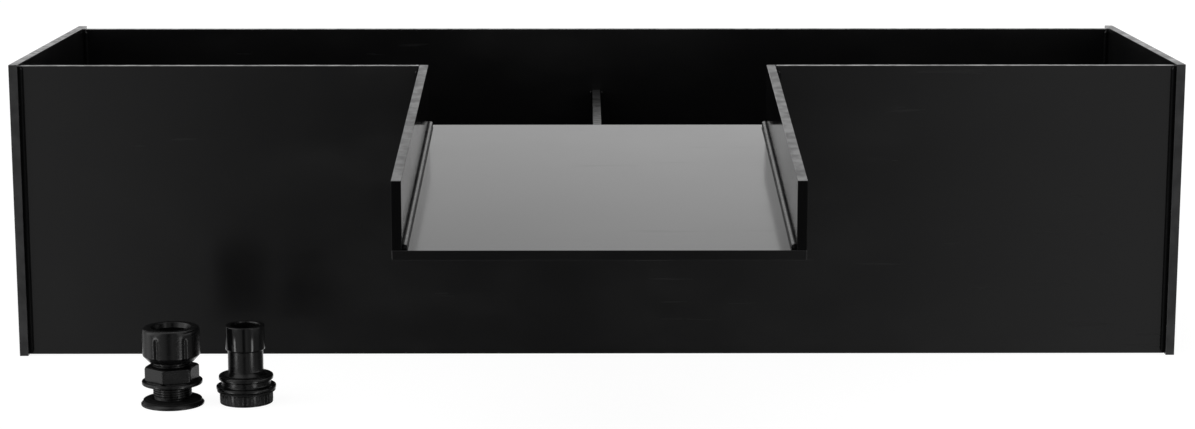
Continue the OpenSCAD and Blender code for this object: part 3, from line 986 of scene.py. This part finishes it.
def fitted(name, meshes, body, slot, node, *finishes, above=None):
    """Joins meshes into one finished piece of a fitting, in the place of a CAD node."""
    finish_piece(show(name, joined(name, meshes, *finishes, above=above)), body, slot, node)


def smooth_least(first, second, ease):
    """The smaller of two lengths, eased where they are nearly the same."""
    least = min(first, second)
    return least - ease * math.log(math.exp((least - first) / ease) + math.exp((least - second) / ease))


def make_connector_body():
    """Flanged barrel of the pipe connector, threaded from the gasket to its open end."""
    seen = looks("fitting_looks")
    low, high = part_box("connector_body")
    centre = centre_of("connector_body")
    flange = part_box("connector_gasket")[0].z
    crest = barrel_radius()
    socket, depth = mount_size("pipe_socket")
    flow = socket - STOP_WIDTH
    root = crest - seen.thread_depth - THREAD_SINK
    rim = outer_radius("connector_body")
    ledge = high.z - depth
    outline = [
        (flow, low.z, 0.0015), (rim - 5.6 * MM, low.z), (rim - 5 * MM, low.z + 0.8 * MM),
        (rim - 3.6 * MM, low.z + 0.8 * MM), (rim - 3 * MM, low.z), (rim, low.z, 0.0009),
        (rim, low.z + 1.9 * MM, 0.001), (rim - 2.4 * MM, flange), (crest + 0.9 * MM, flange),
        (crest - 0.1 * MM, flange + 1.4 * MM, 0.001), (root, flange + 3.4 * MM), (root, high.z - 1.5 * MM),
        (root - 0.6 * MM, high.z, 0.0006), (socket + 0.6 * MM, high.z, 0.0003), (socket, high.z - 0.8 * MM),
        (socket, ledge), (flow, ledge, 0.0006),
    ]
    body = turned("connector_body", centre, outline)
    thread = threaded("connector_thread", centre, flange + 3.0 * MM, high.z - 0.8 * MM)
    fitted("flanged_barrel", [body, thread], "connector", "fitting", "connector_body", moulded())


def make_rubber_ring(node, body, dome):
    """Flat rubber gasket with a raised inner part and two pressed grooves."""
    low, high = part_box(node)
    bore, rim = barrel_radius() + RING_GAP, outer_radius(node)
    drop = (high.z - low.z) * dome
    outline = [(bore, low.z), (rim, low.z), (rim, high.z - drop, 0.0008)]
    # Millimetres in from the rim, share of the drop, and millimetres of groove
    steps = (
        (2.2, 0.55, 0), (2.6, 0.55, 0.3), (3.0, 0.45, 0), (5.0, 0.15, 0), (5.4, 0.15, 0.3), (5.8, 0.08, 0))
    for inward, share, groove in steps:
        outline.append((rim - inward * MM, high.z - share * drop - groove * MM))
    outline.append((bore, high.z))
    ring = turned(node, centre_of(node), outline, 0.0003)
    fitted(node + "_ring", [ring], body, "rubber", node, material("ring_rubber", rubber_material))


def make_seal_ring():
    """Rubber sealing ring of rounded section with a lip against the pipe."""
    low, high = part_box("seal_ring")
    outer = outer_radius("seal_ring")
    inner = mount_size("pipe_socket")[0] + PIPE_GAP
    middle = (low.z + high.z) / 2
    outline = [
        (inner, middle, 0.0004), (inner + 0.5 * MM, low.z, 0.0006), (outer, low.z, 0.0008),
        (outer, high.z, 0.0008), (inner + 0.5 * MM, high.z, 0.0006),
    ]
    ring = turned("seal_ring", centre_of("seal_ring"), outline)
    fitted("pipe_seal", [ring], "connector", "rubber", "seal_ring", material("ring_rubber", rubber_material))


def make_grip_ring():
    """Split grip ring with a coned outside and three teeth that bite the pipe."""
    low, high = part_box("grip_ring")
    outer = outer_radius("seal_ring")
    inner = mount_size("pipe_socket")[0] + PIPE_GAP
    tall = high.z - low.z
    outline = [(outer - 0.3 * MM, low.z), (outer, low.z + 0.4 * tall), (outer - 0.5 * MM, high.z)]
    for tooth in (2, 1, 0):
        foot = low.z + tall * (0.12 + 0.27 * tooth)
        outline += [(inner + 0.5 * MM, foot + 0.26 * tall, 0.0001), (inner, foot + 0.05 * tall, 0.00005),
                    (inner + 0.5 * MM, foot, 0.0001)]
    half_gap = 1.5 * MM / outer
    gap = (half_gap, 2 * math.pi - half_gap)
    ring = turned("grip_ring", centre_of("seal_ring"), outline, 0.0002, gap=gap)
    fitted("split_grip_ring", [ring], "grip_body", "fitting", "grip_ring", moulded("grip_plastic", 0.34, 0.5))


def make_slip_washer():
    """Slip washer with rounded rims and a raised bead near its edge."""
    low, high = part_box("slip_washer")
    bore, rim = barrel_radius() + RING_GAP, outer_radius("slip_washer")
    lift = 0.5 * MM
    outline = [
        (bore, low.z + lift), (bore + 2 * MM, low.z + lift), (bore + 2.4 * MM, low.z), (rim, low.z, 0.0012),
        (rim, high.z - 0.3 * MM, 0.0016), (rim - 2.4 * MM, high.z), (rim - 2.9 * MM, high.z - 0.5 * MM),
        (rim - 3.9 * MM, high.z - 0.5 * MM), (rim - 4.3 * MM, high.z), (bore, high.z),
    ]
    washer = turned("slip_washer", centre_of("slip_washer"), outline)
    fitted("loose_washer", [washer], "washer_body", "fitting", "slip_washer", moulded())


def make_back_nut():
    """Hexagonal back nut, its corners cut back by a cone at the top and at the bottom."""
    low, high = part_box("back_nut")
    centre = centre_of("back_nut")
    bore = barrel_radius() + THREAD_GAP
    flat = barrel_radius() + BACK_NUT_WALL
    corner = flat / math.cos(math.pi / 6)
    chamfer, chamfer_slope = 1.5 * MM, 1.15
    ease = 0.25 * MM
    tall = high.z - low.z
    steps, rows = 216, 44
    work = bmesh.new()
    rings = []
    for i in range(steps):
        angle = 2 * math.pi * i / steps
        off_flat = (angle + math.pi / 6) % (math.pi / 3) - math.pi / 6
        side = min(flat / math.cos(off_flat), corner - ease)
        column = [(bore + 0.5 * MM, 0.0), (side - 3 * MM, 0.0)]
        for row in range(rows + 1):
            up = tall * (0.5 - 0.5 * math.cos(math.pi * row / rows))
            cone = corner - chamfer + min(up, tall - up) * chamfer_slope
            column.append((smooth_least(side, cone, ease), up))
        column += [(side - 3 * MM, tall), (bore + 1.6 * MM, tall), (bore + 1.2 * MM, tall - 0.4 * MM),
                   (bore, tall - 1.4 * MM), (bore, 0.5 * MM)]
        turn = angle + BACK_NUT_TURN
        rings.append([work.verts.new((
            centre.x + r * math.cos(turn), centre.y + r * math.sin(turn), low.z + z)) for r, z in column])
    skin(work, rings, True)
    fitted("hex_back_nut", [mesh_of(work, "back_nut")], "back_nut_body", "fitting", "back_nut", moulded())


def make_cap_nut():
    """Cap nut with a coned skirt, grip flutes, a rounded shoulder and a flared mouth."""
    seen = looks("fitting_looks")
    low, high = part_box("cap_nut")
    centre = centre_of("cap_nut")
    rim = outer_radius("cap_nut")
    bore = barrel_radius() + THREAD_GAP
    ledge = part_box("grip_ring")[1].z + 0.1 * MM
    mouth = mount_size("pipe_socket")[0] - 0.15 * MM + 1.5 * MM
    shoulder = high.z - 7 * MM
    outline = [
        (bore + 0.6 * MM, low.z), (rim - 5.5 * MM, low.z, 0.0012), (rim, low.z + 6 * MM, 0.0018),
        (rim, high.z, 0.007), (mouth + 1.6 * MM, high.z, 0.0006), (mouth + 0.3 * MM, high.z - 4 * MM, 0.0015),
        (mouth, high.z - 4.8 * MM), (mouth, ledge), (bore, ledge), (bore, low.z + 0.6 * MM),
    ]
    body = turned("cap_nut", centre, outline, rows=0.0012)
    tree = bpy.data.node_groups.get("grip_flutes") or flute_tree()
    body = grown("cap_nut", tree, {
        "Centre": (centre.x, centre.y, 0.0), "Count": seen.flutes, "Phase": CAP_TURN, "Depth": 1.5 * MM,
        "Width": 2.1 * MM, "Bottom": low.z - 10 * MM, "Top": shoulder, "Run Out": 2 * MM,
        "Least Radius": bore + 2.5 * MM, "Material": moulded(),
    }, body)
    fitted("fluted_cap_nut", [body], "cap_body", "fitting", "cap_nut", moulded())


def make_spigot_body():
    """Hose spigot: threaded stub, flange, waist, round collar, neck and hose grip."""
    seen = looks("fitting_looks")
    low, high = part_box("spigot_body")
    centre = centre_of("spigot_body")
    crest = barrel_radius()
    root = crest - seen.thread_depth - THREAD_SINK
    hose, grip = mount_size("hose_grip")
    neck = hose - 2 * MM
    bore, stub_bore = neck - 3 * MM, crest - 4.5 * MM
    flange_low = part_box("spigot_gasket")[1].z + 0.1 * MM
    rim = crest + 10.25 * MM
    flange = flange_low + 3.3 * MM
    waist, collar_low = neck + 6.75 * MM, flange + 6.0 * MM
    collar, collar_high = neck + 9.25 * MM, flange + 10.5 * MM
    step = high.z - grip - 0.8 * MM
    outline = [
        (stub_bore, low.z), (root - 0.5 * MM, low.z, 0.0006), (root, low.z + 1.2 * MM),
        (root, flange_low - 1.2 * MM), (crest - 0.2 * MM, flange_low, 0.0008), (rim, flange_low, 0.0009),
        (rim, flange, 0.0012), (waist + 0.6 * MM, flange, 0.0006),
        (waist - 0.3 * MM, flange + 1.4 * MM, 0.003), (waist, collar_low, 0.001),
        (collar, collar_low, 0.0022), (collar, collar_high, 0.0022), (neck + 4 * MM, collar_high, 0.002),
        (neck, collar_high + 4 * MM, 0.004), (neck, step - 0.4 * MM, 0.0008),
        (hose, step + 0.8 * MM, 0.0007), (hose, high.z, 0.0009), (bore + 0.7 * MM, high.z, 0.0004),
        (bore, high.z - 1.2 * MM), (bore, collar_high), (stub_bore, flange),
    ]
    glossy = moulded("glossy_moulding", 0.07, 0.1)
    body = turned("spigot_body", centre, outline)
    thread = threaded("spigot_thread", centre, low.z + 0.6 * MM, flange_low - 0.9 * MM)
    meshes = [body, thread]
    fitted("hose_spigot", meshes, "spigot_tube", "fitting", "spigot_body", moulded(), glossy, above=step)


def make_spigot_nut():
    """Ring nut with upright ribs between two plain rims."""
    seen = looks("fitting_looks")
    low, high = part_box("spigot_nut")
    centre = centre_of("spigot_nut")
    rim = outer_radius("spigot_nut")
    bore = barrel_radius() + THREAD_GAP
    valley = rim - 0.75 * MM
    band = 1.1 * MM
    outline = [
        (bore + 0.6 * MM, low.z), (rim - 0.1 * MM, low.z, 0.0008), (rim - 0.1 * MM, low.z + band, 0.0004),
        (valley, low.z + band + 0.3 * MM), (valley, high.z - band - 0.3 * MM),
        (rim - 0.1 * MM, high.z - band, 0.0004), (rim - 0.1 * MM, high.z, 0.0009),
        (bore + 2.2 * MM, high.z), (bore + 1.4 * MM, high.z - 0.5 * MM), (bore, high.z - 1.2 * MM),
        (bore, low.z + 0.6 * MM),
    ]
    tree = bpy.data.node_groups.get("nut_ribs") or rib_tree()
    rib_radius = 1.15 * MM
    ribs = grown("nut_ribs", tree, {
        "Centre": (centre.x, centre.y, 0.0), "Count": seen.ribs, "Ring Radius": rim - rib_radius,
        "Rib Radius": rib_radius, "Bottom": low.z + 0.6 * MM, "Top": high.z - 0.6 * MM,
        "Material": moulded(),
    })
    ring = turned("spigot_nut", centre, outline)
    fitted("ribbed_nut", [ring, ribs], "spigot_base", "fitting", "spigot_nut", moulded())


# ---------- stage ----------

def add_camera():
    """The camera, level from side to side, looking down at the tank."""
    seen = looks("stage_looks")
    data = bpy.data.cameras.new("camera")
    data.sensor_width = 36.0
    data.sensor_fit = "HORIZONTAL"
    data.lens = seen.lens
    data.clip_end = 200.0
    camera = bpy.data.objects.new("camera", data)
    bpy.context.scene.collection.objects.link(camera)
    camera.location = seen.eye
    camera.rotation_euler = Euler((math.pi / 2 - seen.tilt, 0.0, -seen.turn))
    bpy.context.scene.camera = camera


def add_floor():
    """A wide pale floor under the tank, left out of reflections so that gloss shows the studio."""
    reach = 40.0
    work = bmesh.new()
    bmesh.ops.create_grid(work, x_segments=8, y_segments=8, size=reach)
    mesh = mesh_of(work, "floor")
    mesh.materials.append(floor_material())
    floor = show("floor", mesh)
    floor.location.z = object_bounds()[0][2] - 0.2 * MM
    floor.visible_glossy = False
    floor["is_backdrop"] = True


class Sky(Graph):
    """The studio round the tank, as brightness by direction."""

    def __init__(self):
        world = bpy.data.worlds.new("studio")
        world.use_nodes = True
        bpy.context.scene.world = world
        self.tree = world.node_tree
        self.ground = self.tree.nodes["Background"]
        direction = self.add("ShaderNodeTexCoord")["Generated"]
        self.parts = self.add("ShaderNodeSeparateXYZ", {"Vector": direction})

    def curve(self, value, *points):
        """A smooth curve through (input, brightness) points, the first and the last at the input's ends."""
        low, high = points[0][0], points[-1][0]
        share = self.over(self.minus(value, low), high - low)
        node = self.tree.nodes.new("ShaderNodeFloatCurve")
        line = node.mapping.curves[0]
        top = max(level for _, level in points)
        line.points[0].location = (0.0, points[0][1] / top)
        line.points[1].location = (1.0, points[-1][1] / top)
        for where, level in points[1:-1]:
            line.points.new((where - low) / (high - low), level / top)
        for point in line.points:
            point.handle_type = "AUTO_CLAMPED"
        node.mapping.update()
        self.put(node.inputs["Value"], share)
        return self.times(node.outputs["Value"], top)

    def fill(self, brightness):
        """Lights the world with that brightness."""
        self.put(self.ground.inputs["Strength"], brightness)
        self.put(self.ground.inputs["Color"], (1, 1, 1, 1))


def add_studio():
    """Soft light all round: bright behind, soft at the sides, dark in front, and two low soft boxes."""
    seen = looks("stage_looks")
    sky = Sky()
    x, y, z = (sky.parts[axis] for axis in "XYZ")
    level = sky.math("SQRT", sky.plus(sky.times(x, x), sky.times(y, y)))
    degree = math.pi / 180
    # Height over the horizon, and the bearing: 0 at the camera's side, 90 at +X
    rise = sky.over(sky.math("ARCTAN2", z, level), degree)
    bearing = sky.over(sky.math("ARCTAN2", x, sky.times(y, -1.0)), degree)
    dark, lamp = seen.dark_front, seen.lamps
    ahead = sky.curve(
        bearing, (-180, seen.backdrop), (-176, 1.36), (-158, 1.3), (-136, 0.45), (-112, 0.5), (-98, 1.1),
        (-84, 1.1), (-70, 0.45), (-49, 0.55), (-38, 0.6), (-24, 0.5), (-12.5, 0.44), (-9.5, 0.25),
        (-6, dark), (1, dark), (5, 0.12), (9, 0.30), (12.5, 0.48), (24, 0.36), (36, 0.3), (84, 0.25),
        (104, 0.08), (136, 0.1), (156, 0.9), (168, 1.48), (176, 1.52), (180, seen.backdrop))
    height = sky.curve(
        rise, (-90, 0.1), (-50, 0.12), (-35, 0.5), (-20, 1.0), (5, 0.9), (12, 0.92), (20, 1.0), (23, 0.97),
        (26, 0.77), (36, 0.7), (90, 0.7))
    lamps = sky.curve(
        bearing, (-180, 0.0), (-64, 0.0), (-61, lamp), (-53, lamp), (-50, 0.0), (42, 0.0), (45, lamp),
        (52, lamp), (55, 0.0), (180, 0.0))
    low = sky.curve(rise, (-90, 0.0), (-60, 0.0), (-40, 1.0), (-12.5, 1.0), (-11, 0.0), (90, 0.0))
    sides = sky.curve(
        bearing, (-180, 0.0), (-108, 0.0), (-92, 1.0), (-45, 1.0), (-32, 0.0), (32, 0.0), (45, 1.0),
        (92, 1.0), (108, 0.0), (180, 0.0))
    high = sky.curve(rise, (-90, 0.0), (-8, 0.0), (0, 1.0), (50, 1.0), (90, 0.0))
    overhead = sky.curve(rise, (-90, 0.0), (40, 0.0), (65, 0.22), (90, 0.3))
    around = sky.plus(sky.times(ahead, height), sky.times(lamps, low))
    around = sky.plus(around, sky.times(sides, high))
    kept = sky.times(around, sky.minus(1.0, overhead))
    sky.fill(sky.plus(kept, overhead))


# ---------- operators ----------

class SLUICE_OT_tank_sheets(bpy.types.Operator):
    """Makes the cut sheets of the tank and its brace"""
    bl_idname = "sluice.tank_sheets"
    bl_label = "Tank sheets"

    def execute(self, context):
        make_sheets(TANK_SHEETS)
        return {"FINISHED"}


class SLUICE_OT_chute_sheets(bpy.types.Operator):
    """Makes the floor and the cheeks of the chute"""
    bl_idname = "sluice.chute_sheets"
    bl_label = "Chute sheets"

    def execute(self, context):
        make_sheets(CHUTE_SHEETS)
        return {"FINISHED"}


class SLUICE_OT_tank_beads(bpy.types.Operator):
    """Lays the weld beads of the tank: upright corners, floor and brace"""
    bl_idname = "sluice.tank_beads"
    bl_label = "Tank weld beads"

    def execute(self, context):
        for side in (-1, 1):
            make_corner_beads(side)
        make_floor_beads()
        make_brace_beads()
        return {"FINISHED"}


class SLUICE_OT_chute_beads(bpy.types.Operator):
    """Lays the weld beads along the chute and where it meets the tank"""
    bl_idname = "sluice.chute_beads"
    bl_label = "Chute weld beads"

    def execute(self, context):
        make_chute_beads()
        make_wall_beads()
        return {"FINISHED"}


class SLUICE_OT_connector(bpy.types.Operator):
    """Makes the pipe connector: threaded barrel, gasket, washer, back nut, seal, grip ring and cap nut"""
    bl_idname = "sluice.connector"
    bl_label = "Pipe connector"

    def execute(self, context):
        make_connector_body()
        make_rubber_ring("connector_gasket", "connector", 0.55)
        make_slip_washer()
        make_back_nut()
        make_seal_ring()
        make_grip_ring()
        make_cap_nut()
        return {"FINISHED"}


class SLUICE_OT_spigot(bpy.types.Operator):
    """Makes the hose spigot: turned body, gasket and ribbed nut"""
    bl_idname = "sluice.spigot"
    bl_label = "Hose spigot"

    def execute(self, context):
        make_spigot_body()
        make_rubber_ring("spigot_gasket", "spigot_seal", 0.2)
        make_spigot_nut()
        return {"FINISHED"}


class SLUICE_OT_stage(bpy.types.Operator):
    """Sets up the camera, the pale floor and the soft studio light"""
    bl_idname = "sluice.stage"
    bl_label = "Stage"

    def execute(self, context):
        add_camera()
        add_floor()
        add_studio()
        bpy.context.scene.view_settings.view_transform = "Standard"
        return {"FINISHED"}


class SLUICE_PT_panel(bpy.types.Panel):
    """Sizes, colours and pieces of the sluice box"""
    bl_label = "Sluice box"
    bl_idname = "SLUICE_PT_panel"
    bl_space_type = "VIEW_3D"
    bl_region_type = "UI"
    bl_category = "Sluice box"

    def draw(self, context):
        for name, group in PROPERTY_GROUPS:
            box = self.layout.box()
            box.label(text=name.replace("_", " ").capitalize())
            for key in group.__annotations__:
                box.prop(getattr(context.scene, name), key)
        for operator in OPERATORS:
            self.layout.operator(operator.bl_idname)


PROPERTY_GROUPS = (
    ("sheet_looks", SheetLooks), ("bead_looks", BeadLooks),
    ("fitting_looks", FittingLooks), ("stage_looks", StageLooks),
)
OPERATORS = (
    SLUICE_OT_stage, SLUICE_OT_tank_sheets, SLUICE_OT_chute_sheets, SLUICE_OT_tank_beads,
    SLUICE_OT_chute_beads, SLUICE_OT_connector, SLUICE_OT_spigot,
)


def register():
    """Registers the settings, the operators and the panel."""
    for name, group in PROPERTY_GROUPS:
        bpy.utils.register_class(group)
        setattr(bpy.types.Scene, name, PointerProperty(type=group))
    for operator in OPERATORS:
        bpy.utils.register_class(operator)
    bpy.utils.register_class(SLUICE_PT_panel)


def unregister():
    """Takes everything back out."""
    bpy.utils.unregister_class(SLUICE_PT_panel)
    for operator in reversed(OPERATORS):
        bpy.utils.unregister_class(operator)
    for name, group in reversed(PROPERTY_GROUPS):
        delattr(bpy.types.Scene, name)
        bpy.utils.unregister_class(group)


def main():
    """Builds the whole scene."""
    register()
    bpy.ops.sluice.stage()
    bpy.ops.sluice.tank_sheets()
    bpy.ops.sluice.chute_sheets()
    bpy.ops.sluice.tank_beads()
    bpy.ops.sluice.chute_beads()
    bpy.ops.sluice.connector()
    bpy.ops.sluice.spigot()


if __name__ == "__main__":
    main()
